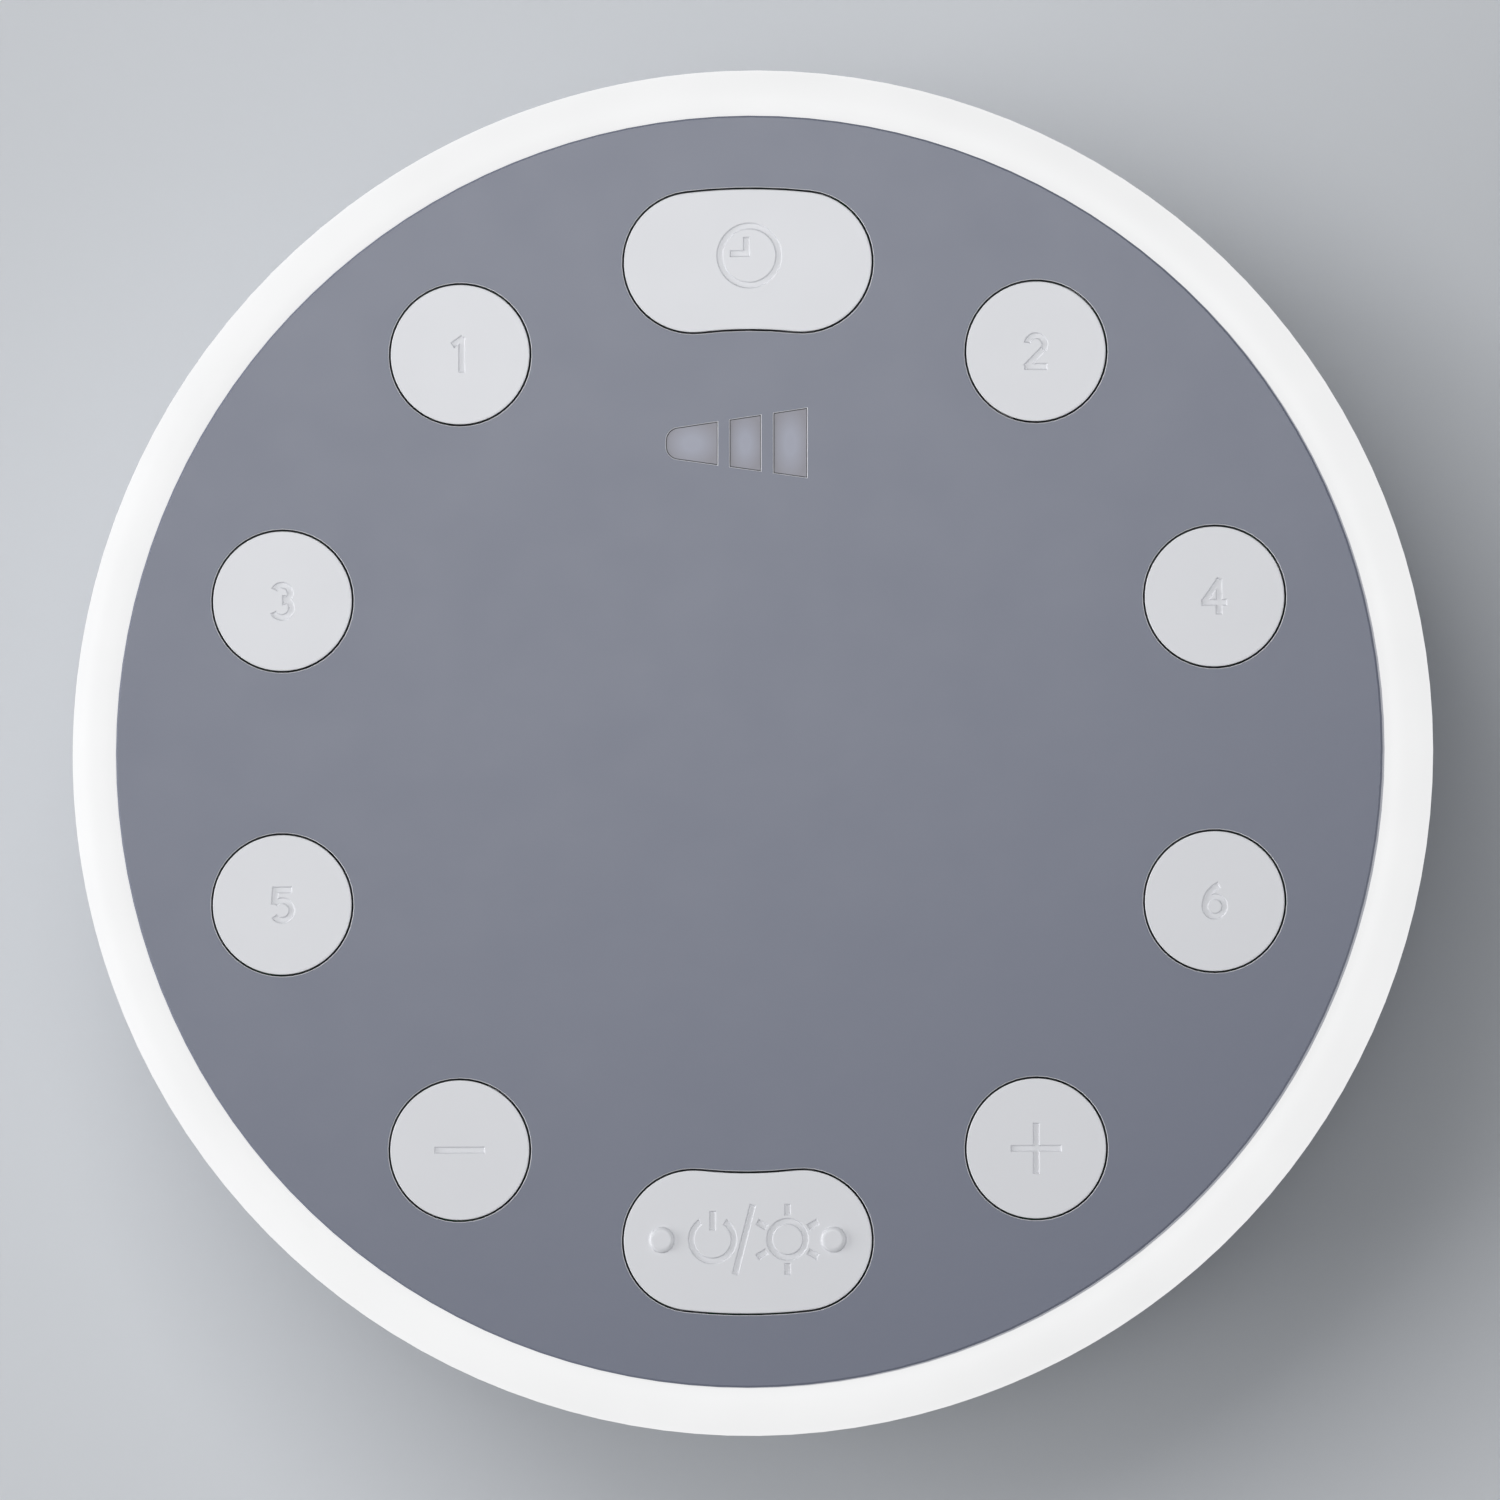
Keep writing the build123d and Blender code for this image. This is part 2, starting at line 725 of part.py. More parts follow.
def speaker_lead():
    """Flat twin lead from the board's plug to the speaker's terminals."""
    x, y = plug_place
    start_z = board_under - plug_size[2]
    end_z = flange_z + basket_t + terminal_size[2] / 2
    end_x = -speaker_screw_circle_r - terminal_size[0] / 2
    swing_x = -(basket_r + lead_room_r()) / 2
    route = [
        Vector(x, y, start_z),
        Vector(x, y, start_z - lead_drop),
        Vector(swing_x, y / 2, start_z - 2 * lead_drop),
        Vector(swing_x, 0, end_z),
        Vector(end_x, 0, end_z),
    ]
    radii = []
    for before, here, after in zip(route, route[1:], route[2:]):
        turn = (here - before).get_angle(after - here)
        shorter = min((here - before).length, (after - here).length)
        radii.append(lead_bend * shorter / tan(radians(turn / 2)))
    path = FilletPolyline(*route, radius=radii)
    section = Plane(origin=path @ 0, z_dir=path % 0, x_dir=(0, 1, 0)) * Rectangle(lead_w, lead_t)
    return sweep(section, path)


write("top_panel", top_panel())
write("light_ring", light_ring())
write("indicator_lens", indicator_lens())
write("indicator_light_box", indicator_light_box())
for name in control_names:
    write(f"{name}_button", cap(name))
    write(f"{name}_plunger", at(control_r, control_angle(name)) * switch_plunger())
write_group("switch_bodies", [at(control_r, control_angle(n)) * switch_body() for n in control_names])
write("main_board", main_board())
write_group("ring_leds", ring_leds())
write_group("indicator_leds", indicator_leds())
write("sound_chip", under_board(chip_size, chip_place))
write("amplifier_chip", under_board(amplifier_size, amplifier_place))
write_group("capacitors", capacitors())
write("power_jack", power_jack())
write("jack_pin", jack_pin())
write("speaker_plug", under_board(plug_size, plug_place))
write("speaker_lead", speaker_lead())
write("housing", housing())
write("base_cover", base_cover())
write_group("rubber_feet", [at(foot_circle_r, angle) * rubber_foot() for angle in foot_angles])
write_group("case_screws", case_screws())
write_group("panel_screws", panel_screws())
write_group("board_screws", board_screws())
write_group("speaker_screws", speaker_screws())
write("grille_cloth", grille_cloth())
write("speaker_gasket", speaker_gasket())
write("speaker_basket", speaker_basket())
write("front_plate", front_plate())
write("speaker_magnet", speaker_magnet())
write("magnet_yoke", magnet_yoke())
write("speaker_cone", speaker_cone())
write("voice_coil", voice_coil())
write("dust_cap", dust_cap())
write("speaker_surround", speaker_surround())
write("speaker_terminals", speaker_terminals())
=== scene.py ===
import json
import math

import bmesh
import bpy
from mathutils import Matrix, Vector


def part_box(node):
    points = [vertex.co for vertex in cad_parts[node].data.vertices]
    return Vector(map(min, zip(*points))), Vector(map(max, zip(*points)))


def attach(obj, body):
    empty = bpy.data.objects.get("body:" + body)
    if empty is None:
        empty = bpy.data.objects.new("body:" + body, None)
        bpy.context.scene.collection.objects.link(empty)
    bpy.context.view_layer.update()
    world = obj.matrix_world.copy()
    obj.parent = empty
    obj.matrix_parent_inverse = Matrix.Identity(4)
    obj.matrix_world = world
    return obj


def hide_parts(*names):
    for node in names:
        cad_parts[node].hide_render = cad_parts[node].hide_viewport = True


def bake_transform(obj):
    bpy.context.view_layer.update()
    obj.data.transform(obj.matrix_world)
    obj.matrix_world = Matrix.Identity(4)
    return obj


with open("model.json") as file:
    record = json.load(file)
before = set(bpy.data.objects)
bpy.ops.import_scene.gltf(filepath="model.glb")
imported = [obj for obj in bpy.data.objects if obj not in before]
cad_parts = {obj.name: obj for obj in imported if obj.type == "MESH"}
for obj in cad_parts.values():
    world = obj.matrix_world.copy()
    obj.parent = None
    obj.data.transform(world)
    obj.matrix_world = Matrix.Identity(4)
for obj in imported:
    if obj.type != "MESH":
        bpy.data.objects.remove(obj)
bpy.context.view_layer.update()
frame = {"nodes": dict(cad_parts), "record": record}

# White noise sound machine: the finish of every piece, the engraved button caps, the screws' threads and
# recesses, the woven cloth and the soft parts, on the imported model. +Z is up, +Y points to the timer button.
# The sizes of the object are in millimetres, and MM turns them into the scene's metres. The camera and the
# studio are in metres.
MM = 0.001

# ------------------------------------------------------------------ symbols, about the middle of their cap
# Each stroke is a shallow channel with sloping walls
groove_w = 0.6           # across the top
groove_floor_w = 0.36
groove_depth = 0.13
groove_lift = 0.1        # how far a cutter stands above the face it cuts
bow_step = 7.5           # finest step along an arc, in degrees
sign_half = 2.16         # half the plus and minus bars
clock_r = 2.49
clock_middle = (0.13, 0.3)
clock_hands = (((-0.11, 0.19), (-0.11, 1.88)), ((0.21, 0.47), (-1.53, 0.47)))
power_x, sun_x = -2.97, 3.36
power_and_sun_y = 0.33
power_r = 1.8
power_gap = 34.0         # half the gap in the power ring, in degrees
power_bar_foot, power_bar_top = 0.75, 2.42
slash_foot, slash_top = (-1.09, -2.63), (0.44, 3.28)
sun_r = 1.52
sun_rays = 6
sun_first_ray = 30       # degrees
sun_ray_near, sun_ray_far = 1.98, 3.0
digit_scale = 0.9
numbered_caps = ("rain", "relax", "forest", "calm", "ocean", "white_noise")  # 1 to 6, in this order

# ------------------------------------------------------------------ caps, panel and indicator
wide_caps = ("timer", "power_light")
cap_face_grow = 0.11     # each cap's face reaches further out than in CAD, so its bevel is steeper
cap_edge_round = 0.06    # rounding of the face's edge
cap_rise = 0.12          # brings each cap's face up level with the panel
bevel_reach = 0.2        # what lies less than this below the face rises with it
highlight_edge_depth = 0.05   # painted highlight on the edges of the panel's holes
shade_depth = 0.6        # and painted shade below it, down to here
holes_within = 50.0      # the panel's holes lie nearer to its axis than this
window_grow = 0.05       # the indicator's pads fill their windows and come up nearly flush
window_rise = 0.12
pad_gap = 0.1            # faces of one pad lie closer together than this

# ------------------------------------------------------------------ soft parts and screws
foot_r = 4.6
foot_edge_round = 0.7
foot_angles = (45, 135, 225, 315)
weave_pitch = 0.9        # one thread of the grille cloth
weave_rise = 0.07
gasket_w = 2.2
gasket_bulge = 0.25
gasket_side = (-0.8, -0.4, 0, 0.4, 0.8)  # points of a bulging side, in radians off level
roll_depth = 2.2         # half roll of the speaker's surround, below the cone's rim
roll_t = 0.3
roll_lip = 0.7           # what is glued under the cone's rim
glue_gap = 0.02
case_screw = (1.45, 2.7, 2.0)    # radius of the shank, radius and height of the head
board_screw = (1.15, 2.3, 1.5)
thread_pitch = 1.0
thread_depth = 0.28
thread_rows = 6          # rings of points in one turn of the thread

# ------------------------------------------------------------------ meshes
level_play = 0.01        # points this close in height are on one level
weld = 0.001             # points this close are one point
crease = 32              # faces that meet at a sharper angle keep a hard edge, in degrees
fine_steps = 96          # points round a large turned part
screw_steps = 24         # and round a screw

# ------------------------------------------------------------------ studio, in metres and degrees
floor_half = 12.0
lamps_aim = (0, 0, 0.03)
camera_distance = 2.5    # nearly straight above, a little to the right and towards the front
camera_right = 5.8       # tilt off the vertical
camera_front = 2.6
camera_field = 0.12605   # width of the view at the panel's face
camera_shift = (0.0015, 0.0006)
camera_sensor = 36       # millimetres, as Blender counts it


# ------------------------------------------------------------------ finishes
def paint(red, green, blue):
    """A colour of 0 to 255, as it shows on a screen, as linear light."""
    linear = []
    for value in (red, green, blue):
        v = value / 255
        linear.append(v / 12.92 if v <= 0.04045 else ((v + 0.055) / 1.055) ** 2.4)
    return tuple(linear)


class Finish:
    """A procedural material in the making: a Principled shader and the textures that feed it.

    Textures read object space, so their sizes are real ones, given in millimetres."""

    def __init__(self, slot, colour, roughness, **shader):
        self.material = bpy.data.materials.new(slot + "_finish")
        self.material.use_nodes = True
        self.tree = self.material.node_tree
        self.shader = self.tree.nodes["Principled BSDF"]
        self.place = self.add("TexCoord").outputs["Object"]
        self.base = (*colour, 1)
        self.normal = None
        self.feed(self.shader.inputs["Base Color"], self.base)
        self.feed(self.shader.inputs["Roughness"], roughness)
        for name, value in shader.items():
            self.feed(self.shader.inputs[name.replace("_", " ")], value)

    def feed(self, socket, value):
        if isinstance(value, bpy.types.NodeSocket):
            self.tree.links.new(value, socket)
        else:
            socket.default_value = value

    def add(self, kind, settings=None, **inputs):
        node = self.tree.nodes.new("ShaderNode" + kind)
        for name, value in (settings or {}).items():
            setattr(node, name, value)
        for name, value in inputs.items():
            self.feed(node.inputs[name.replace("_", " ")], value)
        return node

    def stretched(self, scale):
        return self.add("Mapping", Vector=self.place, Scale=scale).outputs["Vector"]

    def noise(self, size, detail=2.0, stretch=None):
        place = self.stretched(stretch) if stretch else self.place
        return self.add("TexNoise", Vector=place, Scale=1 / (size * MM), Detail=detail).outputs["Fac"]

    def cells(self, size, output="Distance"):
        return self.add("TexVoronoi", Vector=self.place, Scale=1 / (size * MM)).outputs[output]

    def bands(self, pitch, direction):
        """Ridges across one axis, rising to 1 at each pitch."""
        settings = {"wave_type": "BANDS", "bands_direction": direction}
        scale = 0.1 * math.pi / (pitch * MM)
        return self.add("TexWave", settings, Vector=self.place, Scale=scale).outputs["Fac"]

    def ranged(self, value, low, high, at_low=0.0, at_high=1.0):
        made = self.add("MapRange", Value=value, From_Min=low, From_Max=high, To_Min=at_low, To_Max=at_high)
        return made.outputs["Result"]

    def product(self, a, b):
        made = self.add("Math", {"operation": "MULTIPLY"})
        self.feed(made.inputs[0], a)
        self.feed(made.inputs[1], b)
        return made.outputs[0]

    def tint(self, factor, colour):
        """Lays a colour over what the surface has so far."""
        mix = self.add("Mix", {"data_type": "RGBA"})
        factor_in, under, over = mix.inputs[0], mix.inputs[6], mix.inputs[7]
        self.feed(factor_in, factor)
        self.feed(under, self.base)
        self.feed(over, (*colour, 1))
        self.base = mix.outputs[2]
        self.feed(self.shader.inputs["Base Color"], self.base)

    def gloss(self, factor, smooth, rough):
        """Lets the roughness wander between two values."""
        self.feed(self.shader.inputs["Roughness"], self.ranged(factor, 0.3, 0.7, smooth, rough))

    def relief(self, height, depth):
        """Fine relief of a real depth in millimetres, on top of what there is."""
        bump = self.add("Bump", Height=height, Distance=depth * MM)
        if self.normal:
            self.feed(bump.inputs["Normal"], self.normal)
        self.normal = bump.outputs["Normal"]
        self.feed(self.shader.inputs["Normal"], self.normal)

    def from_axis(self, place):
        """How far a place lies from the Z axis."""
        flat = self.add("VectorMath", {"operation": "MULTIPLY"})
        self.feed(flat.inputs[0], place)
        flat.inputs[1].default_value = (1, 1, 0)
        reach = self.add("VectorMath", {"operation": "LENGTH"})
        self.feed(reach.inputs[0], flat.outputs["Vector"])
        return reach.outputs["Value"]

    def glow(self, x, y, half_x, half_y):
        """1 round a point, falling to 0 just outside an ellipse about it."""
        core, edge = 0.35, 1.15  # as shares of the ellipse
        in_ellipse = self.add("Mapping", {"vector_type": "TEXTURE"}, Vector=self.place, Location=(x, y, 0),
                              Scale=(half_x, half_y, 1))
        return self.ranged(self.from_axis(in_ellipse.outputs["Vector"]), edge, core)

    def facing_up(self):
        """1 on level faces that look up, falling to 0 on slopes of 30 degrees."""
        sloping, level = 0.87, 0.98  # the normal's upward part
        normal = self.add("TexCoord").outputs["Normal"]
        return self.ranged(self.add("SeparateXYZ", Vector=normal).outputs["Z"], sloping, level)

    def between(self, low, high):
        """1 where the height is between two values, in metres."""
        z = self.add("SeparateXYZ", Vector=self.place).outputs["Z"]
        step = 0.002 * MM
        return self.product(self.ranged(z, low - step, low), self.ranged(z, high + step, high))

    def specks(self, size, spacing, share, colour):
        """Stray specks: a share of the cells of a grid holds one each."""
        near = self.ranged(self.cells(spacing), size / spacing, 0.5 * size / spacing)
        chance = self.add("SeparateColor", Color=self.cells(spacing, output="Color")).outputs["Red"]
        chosen = self.ranged(chance, share, share - 0.001)
        self.tint(self.product(near, chosen), colour)


def darker(colour, share):
    return tuple(c * share for c in colour)


def paler(colour, rise):
    return tuple(c + rise for c in colour)


def moulded(slot, colour, roughness, grain=0.22, depth=0.004, mottle=0.3, dust=None, **shader):
    """Injection-moulded plastic: spark-eroded grain, faint flow mottling, uneven sheen and stray dust."""
    made = Finish(slot, colour, roughness, **shader)
    made.tint(made.ranged(made.noise(16, 3), 0.35, 0.75, 0, mottle), darker(colour, 0.95))
    made.gloss(made.noise(5, 3), roughness - 0.012, roughness + 0.015)
    made.relief(made.noise(grain, 2), depth)
    made.relief(made.noise(grain * 9, 1), depth * 1.5)
    if dust:
        made.specks(0.12, 5.0, 0.06, dust)
    return made


def metal(slot, colour, roughness, brush=(1, 1, 14)):
    """Bare or plated metal: drawn streaks, cloudy plating and small pits."""
    made = Finish(slot, colour, roughness, Metallic=1.0)
    made.tint(made.ranged(made.noise(0.8, 4, brush), 0.3, 0.8, 0, 0.5), darker(colour, 0.72))
    made.gloss(made.noise(1.6, 3), roughness - 0.06, roughness + 0.1)
    made.relief(made.noise(0.12, 2, brush), 0.003)
    made.specks(0.1, 0.9, 0.2, darker(colour, 0.4))
    return made


def rubber(slot, colour, roughness):
    """Soft rubber or vinyl: a dull skin with bloom in patches."""
    made = Finish(slot, colour, roughness, Sheen_Weight=0.15, Sheen_Roughness=0.6)
    made.tint(made.ranged(made.noise(2.5, 4), 0.45, 0.8, 0, 0.35), paler(colour, 0.05))
    made.gloss(made.noise(1.2, 2), roughness - 0.06, roughness + 0.08)
    made.relief(made.noise(0.3, 3), 0.012)
    made.specks(0.1, 1.8, 0.15, (0.3, 0.3, 0.29))
    return made


def panel_grey():
    """Satin paint, with a painted highlight on the edges of the holes for buttons and windows, and painted
    shade below them.
    """
    made = moulded("panel_grey", paint(113, 118, 135), 0.3, grain=0.2, depth=0.003, dust=paint(60, 63, 74),
                   Specular_IOR_Level=0.4)
    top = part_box("top_panel")[1].z
    edge = top - highlight_edge_depth * MM
    inside = made.ranged(made.from_axis(made.place), (holes_within + 1) * MM, holes_within * MM)
    at_holes = made.product(inside, made.ranged(made.facing_up(), 1, 0))
    # painted highlight: the top of each hole's edge is paler, where light catches it
    made.tint(made.product(at_holes, made.between(edge, top)), paint(232, 233, 238))
    # painted shade on the holes' walls below that edge
    made.tint(made.product(at_holes, made.between(top - shade_depth * MM, edge)), paint(34, 36, 42))
    return made


def ring_diffuser():
    """Opal polycarbonate, lit evenly from behind."""
    made = moulded("ring_diffuser", paint(100, 101, 103), 0.55, depth=0.002, mottle=0.25,
                   Specular_IOR_Level=0.2)
    dimmest, brightest = 0.775, 0.8
    glowing = made.ranged(made.noise(9, 2), 0.3, 0.7, dimmest, brightest)
    made.feed(made.shader.inputs["Emission Color"], (1.0, 1.0, 1.0, 1.0))
    made.feed(made.shader.inputs["Emission Strength"], glowing)
    return made


def window_pads():
    """The ranges of X and Y that each milky pad's face fills, from left to right."""
    mesh = frame["nodes"]["indicator_lens"].data
    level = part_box("indicator_lens")[1].z - level_play * MM
    ranges = []
    for face in mesh.polygons:
        corners = [mesh.vertices[i].co for i in face.vertices]
        if min(c.z for c in corners) > level:
            xs, ys = [c.x for c in corners], [c.y for c in corners]
            ranges.append([min(xs), max(xs), min(ys), max(ys)])
    ranges.sort()
    pads = ranges[:1]
    for left, right, low, high in ranges[1:]:
        if left < pads[-1][1] + pad_gap * MM:
            pads[-1][1] = max(right, pads[-1][1])
            pads[-1][2] = min(low, pads[-1][2])
            pads[-1][3] = max(high, pads[-1][3])
        else:
            pads.append([left, right, low, high])
    return pads


def lens_milky():
    """Milky acrylic with a cloudy body, with painted light palest at the middle of each window and painted
    shade towards its edges.
    """
    made = moulded("lens_milky", paint(134, 133, 143), 0.36, depth=0.002)
    made.tint(made.ranged(made.noise(1.4, 3), 0.4, 0.7, 0, 0.4), paint(140, 139, 149))
    for left, right, low, high in window_pads():
        # painted light and shade: each pad palest at its middle, darkening towards its walls
        lit = made.glow((left + right) / 2, (low + high) / 2, (right - left) / 2, (high - low) / 2)
        made.tint(lit, paint(157, 160, 176))
    return made


def board_green():
    """Green solder mask over straight tracks that run one way or the other in each block, with tinned pads."""
    made = Finish("board_green", paint(9, 58, 36), 0.28, Coat_Weight=0.4, Coat_Roughness=0.15)
    settings = {"feature": "F1", "distance": "CHEBYCHEV"}
    blocks = made.add("TexVoronoi", settings, Vector=made.place, Scale=1 / (8 * MM)).outputs["Color"]
    blocks = made.add("SeparateColor", Color=blocks)
    for across, chance in (("X", "Red"), ("Y", "Green")):
        tracks = made.ranged(made.bands(1.6, across), 0.82, 0.86)
        tracks = made.product(tracks, made.ranged(blocks.outputs[chance], 0.5, 0.501))
        made.tint(tracks, paint(26, 88, 54))
        made.relief(tracks, 0.03)
    made.specks(0.45, 2.4, 0.2, paint(196, 197, 192))
    made.gloss(made.noise(3, 2), 0.24, 0.34)
    return made


def led_body():
    """Clear resin over a yellow phosphor."""
    made = Finish("led_body", paint(236, 226, 172), 0.18, Coat_Weight=0.6)
    made.tint(made.ranged(made.noise(0.7, 2), 0.4, 0.65), paint(222, 196, 92))
    made.relief(made.noise(0.3, 1), 0.004)
    return made


def weave(slot, colour, pitch):
    """Plain woven cloth: threads both ways and fluff."""
    made = Finish(slot, colour, 0.88, Sheen_Weight=0.4, Sheen_Roughness=0.5)
    made.tint(made.ranged(made.noise(1.5, 3), 0.4, 0.7, 0, 0.6), paler(colour, 0.03))
    made.relief(made.bands(pitch / 4, "X"), 0.02)
    made.relief(made.bands(pitch / 4, "Y"), 0.02)
    made.relief(made.noise(0.15, 2), 0.01)
    return made


def foam(slot, colour):
    """Closed-cell foam: small round cells cut open."""
    made = Finish(slot, colour, 0.92)
    cell = made.cells(0.35)
    # painted shade: darker towards the middle of each open cell, where its relief is a hollow
    made.tint(made.ranged(cell, 0.5, 0.1, 0, 0.7), darker(colour, 0.35))
    made.relief(cell, 0.06)
    return made


def ferrite(slot, colour):
    """Sintered ceramic: sandy grain with ground faces."""
    made = Finish(slot, colour, 0.62)
    made.tint(made.ranged(made.noise(0.5, 4), 0.4, 0.7, 0, 0.6), tuple(c * 1.7 for c in colour))
    made.relief(made.noise(0.25, 3), 0.02)
    made.specks(0.25, 2.2, 0.25, darker(colour, 0.4))
    return made


def pulp(slot, colour):
    """Pressed paper pulp: short fibres every way."""
    made = Finish(slot, colour, 0.85)
    made.tint(made.ranged(made.noise(1.2, 5, (1, 4, 1)), 0.45, 0.7, 0, 0.5), paler(colour, 0.06))
    made.relief(made.noise(0.3, 4, (5, 1, 1)), 0.02)
    made.relief(made.noise(0.3, 4, (1, 5, 1)), 0.02)
    return made


def winding(slot, colour, wire):
    """Enamelled wire laid turn by turn."""
    made = Finish(slot, colour, 0.22, Metallic=1.0, Coat_Weight=0.5)
    turns = made.bands(wire, "Z")
    # painted shade in the grooves between turns, where the relief is low
    made.tint(made.ranged(turns, 0.35, 0.0, 0, 0.8), darker(colour, 0.25))
    made.relief(turns, wire / 3)
    return made


finishes = {
    "panel_grey": panel_grey(),
    "cap_white": moulded("cap_white", paint(234, 235, 239), 0.3, grain=0.16, depth=0.002, mottle=0.35,
                         Specular_IOR_Level=0.4),
    "ring_diffuser": ring_diffuser(),
    "lens_milky": lens_milky(),
    "housing_white": moulded("housing_white", paint(226, 227, 230), 0.42, dust=paint(150, 150, 150)),
    "base_grey": moulded("base_grey", paint(112, 117, 131), 0.46, grain=0.3, depth=0.008,
                         dust=paint(70, 72, 80)),
    "black_plastic": moulded("black_plastic", paint(26, 26, 28), 0.45),
    "plunger_white": moulded("plunger_white", paint(226, 225, 216), 0.4),
    "board_green": board_green(),
    "led_body": led_body(),
    "chip_black": moulded("chip_black", paint(32, 32, 35), 0.55, grain=0.12, depth=0.006),
    "can_aluminium": metal("can_aluminium", (0.78, 0.79, 0.81), 0.3),
    "pin_metal": metal("pin_metal", (0.80, 0.68, 0.40), 0.2, (1, 14, 1)),
    "plug_ivory": moulded("plug_ivory", paint(232, 227, 208), 0.42),
    "lead_black": rubber("lead_black", paint(34, 34, 36), 0.5),
    "foot_rubber": rubber("foot_rubber", paint(66, 67, 70), 0.7),
    "screw_steel": metal("screw_steel", (0.62, 0.62, 0.63), 0.28, (3, 3, 3)),
    "cloth_black": weave("cloth_black", paint(30, 30, 33), weave_pitch),
    "gasket_foam": foam("gasket_foam", paint(58, 58, 60)),
    "basket_steel": metal("basket_steel", (0.50, 0.50, 0.51), 0.34, (6, 1, 1)),
    "ferrite": ferrite("ferrite", paint(44, 44, 47)),
    "surround_rubber": rubber("surround_rubber", paint(38, 38, 39), 0.6),
    "cone_paper": pulp("cone_paper", paint(52, 51, 50)),
    "coil_copper": winding("coil_copper", (0.80, 0.42, 0.22), 0.16),
    "terminal_board": pulp("terminal_board", paint(150, 104, 62)),
}
slot_of = {part["node"]: part["material_slot"] for part in frame["record"]["subparts"]}
for node_name, node in frame["nodes"].items():
    node.material_slots[0].material = finishes[slot_of[node_name]].material


# ------------------------------------------------------------------ making pieces
def piece(name, mesh, body, slot, *nodes):
    """Shows a mesh, in metres in the shared frame, in place of CAD nodes.

    A piece given no body rides on none."""
    mesh.materials.clear()
    mesh.materials.append(finishes[slot].material)
    mesh.shade_smooth()
    mesh.set_sharp_from_angle(angle=math.radians(crease))
    made = bpy.data.objects.new(name, mesh)
    bpy.context.scene.collection.objects.link(made)
    if body:
        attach(made, body)
    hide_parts(*nodes)
    return made


def as_mesh(name, shape):
    """Turns a bmesh in millimetres into a mesh in metres."""
    bmesh.ops.recalc_face_normals(shape, faces=shape.faces)
    bmesh.ops.scale(shape, vec=(MM, MM, MM), verts=shape.verts)
    mesh = bpy.data.meshes.new(name)
    shape.to_mesh(mesh)
    shape.free()
    return mesh


def combined(mesh, tool, operation):
    """The exact boolean of two meshes."""
    host = bpy.data.objects.new("host", mesh)
    guest = bpy.data.objects.new("guest", tool)
    for made in (host, guest):
        bpy.context.scene.collection.objects.link(made)
    boolean = host.modifiers.new("boolean", "BOOLEAN")
    boolean.operation = operation
    boolean.solver = "EXACT"
    boolean.use_self = True
    boolean.object = guest
    depsgraph = bpy.context.evaluated_depsgraph_get()
    result = bpy.data.meshes.new_from_object(host.evaluated_get(depsgraph))
    for made in (host, guest):
        bpy.data.objects.remove(made)
    return result


def copied(mesh, places):
    """One mesh made of copies of another, one at each place."""
    shape = bmesh.new()
    for place in places:
        first = len(shape.verts)
        shape.from_mesh(mesh)
        shape.verts.ensure_lookup_table()
        bmesh.ops.transform(shape, matrix=place, verts=shape.verts[first:])
    result = bpy.data.meshes.new(mesh.name)
    shape.to_mesh(result)
    shape.free()
    return result


def on_circle(radius, angles, z, flip=False):
    """Places on a circle round the Z axis, in metres, turned over where flip is set."""
    turn = Matrix.Rotation(math.pi, 4, "X") if flip else Matrix.Identity(4)
    places = []
    for angle in angles:
        a = math.radians(angle)
        places.append(Matrix.Translation((radius * math.cos(a), radius * math.sin(a), z)) @ turn)
    return places


def arc(centre, radius, start, end, steps):
    """Points along an arc, in degrees, both ends included."""
    points = []
    for i in range(steps + 1):
        a = math.radians(start + (end - start) * i / steps)
        points.append((centre[0] + radius * math.cos(a), centre[1] + radius * math.sin(a)))
    return points


def lathe(name, outline, steps=48, radius_at=None):
    """Turns a closed outline of radius and height round the Z axis. radius_at may change a point's radius."""
    shape = bmesh.new()
    rings = []
    for i, (radius, z) in enumerate(outline):
        if radius < weld:
            rings.append([shape.verts.new((0, 0, z))] * steps)
            continue
        ring = []
        for j in range(steps):
            a = 2 * math.pi * j / steps
            r = radius_at(i, radius, z, a) if radius_at else radius
            ring.append(shape.verts.new((r * math.cos(a), r * math.sin(a), z)))
        rings.append(ring)
    for lower, upper in zip(rings, rings[1:] + rings[:1]):
        for j in range(steps):
            k = (j + 1) % steps
            corners = dict.fromkeys((lower[j], lower[k], upper[k], upper[j]))
            if len(corners) > 2:
                shape.faces.new(corners)
    return as_mesh(name, shape)


# ------------------------------------------------------------------ symbols pressed into the caps
def channel(shape, stations, closed=False):
    """Adds a cutter along stations of point, direction and end: -1 at the start, 1 at the end, 0 between."""
    slope = (groove_w - groove_floor_w) / 2 / groove_depth
    rings = []
    for (x, y), (dx, dy), end in stations:
        ring = []
        for z, sides in ((groove_lift, (1, -1)), (-groove_depth, (-1, 1))):
            half = groove_floor_w / 2 + slope * (z + groove_depth)
            push = end * (half - groove_w / 2)
            for side in sides:
                across, up = x + dx * push - dy * side * half, y + dy * push + dx * side * half
                ring.append(shape.verts.new((across, up, z)))
        rings.append(ring)
    for near, far in zip(rings, rings[1:] + (rings[:1] if closed else [])):
        for k in range(4):
            shape.faces.new((near[k], near[k - 1], far[k - 1], far[k]))
    if not closed:
        shape.faces.new(rings[0])
        shape.faces.new(rings[-1])


def bar(shape, start, end):
    """A straight stroke between its two outer ends."""
    a, b = Vector(start), Vector(end)
    along = (b - a).normalized()
    channel(shape, [(a, along, -1), (b, along, 1)])


